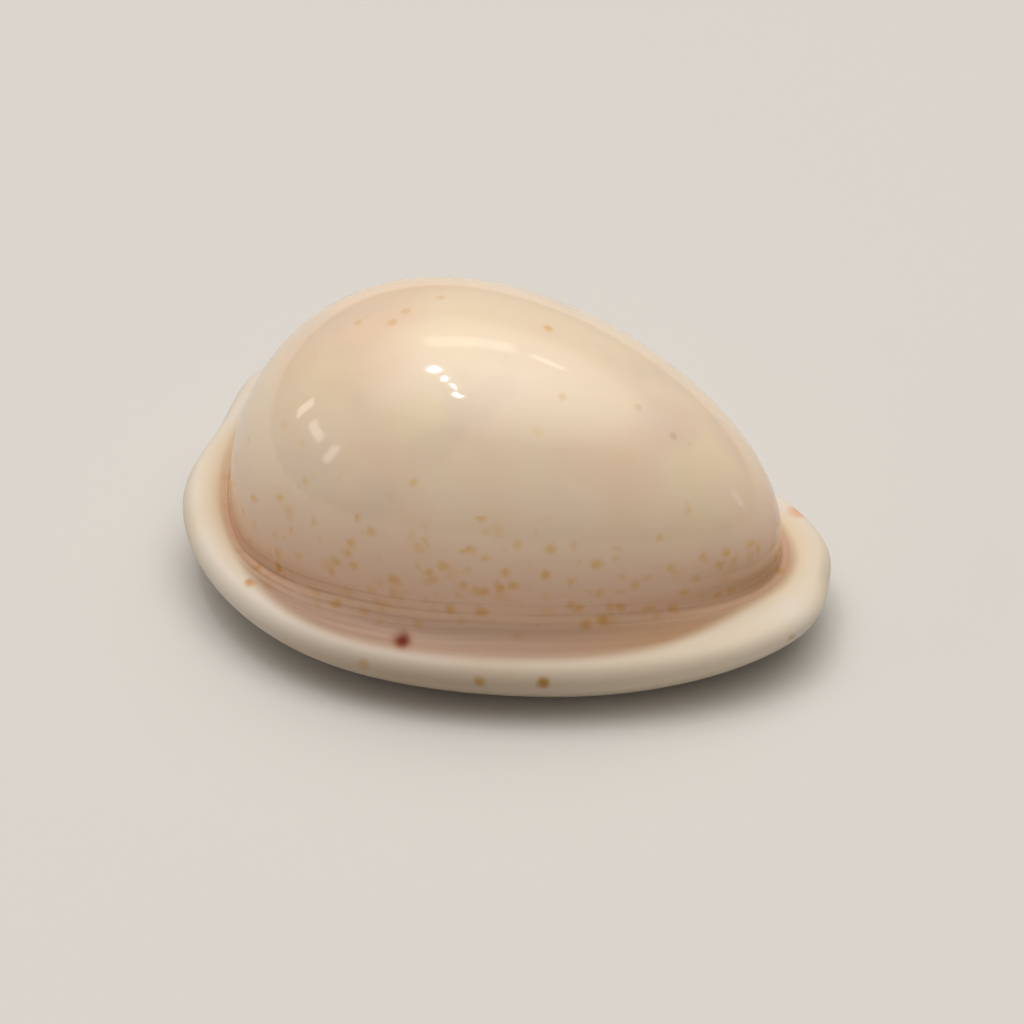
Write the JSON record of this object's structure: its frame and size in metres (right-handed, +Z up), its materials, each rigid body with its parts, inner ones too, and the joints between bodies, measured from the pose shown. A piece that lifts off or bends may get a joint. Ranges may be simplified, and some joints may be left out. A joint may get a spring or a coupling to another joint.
{
  "type": "cowrie shell",
  "caption": "Glossy egg-shaped cowrie shell with a thick rolled margin, a hollow inside and a long toothed slit along its flattened base; rests on its base.",
  "frame": {"origin": "on the flat of the base, below the middle of the bounding box", "axes": "+X towards the front (siphon canal) end along the shell's length, +Y towards the inner (columellar) lip, +Z up out of the crown of the back"},
  "size_m": [0.0382, 0.0266, 0.0179],
  "materials": {
    "shell": "gloss"
  },
  "bodies": {
    "root": {"cowrie_shell": "shell"}
  },
  "joints": []
}
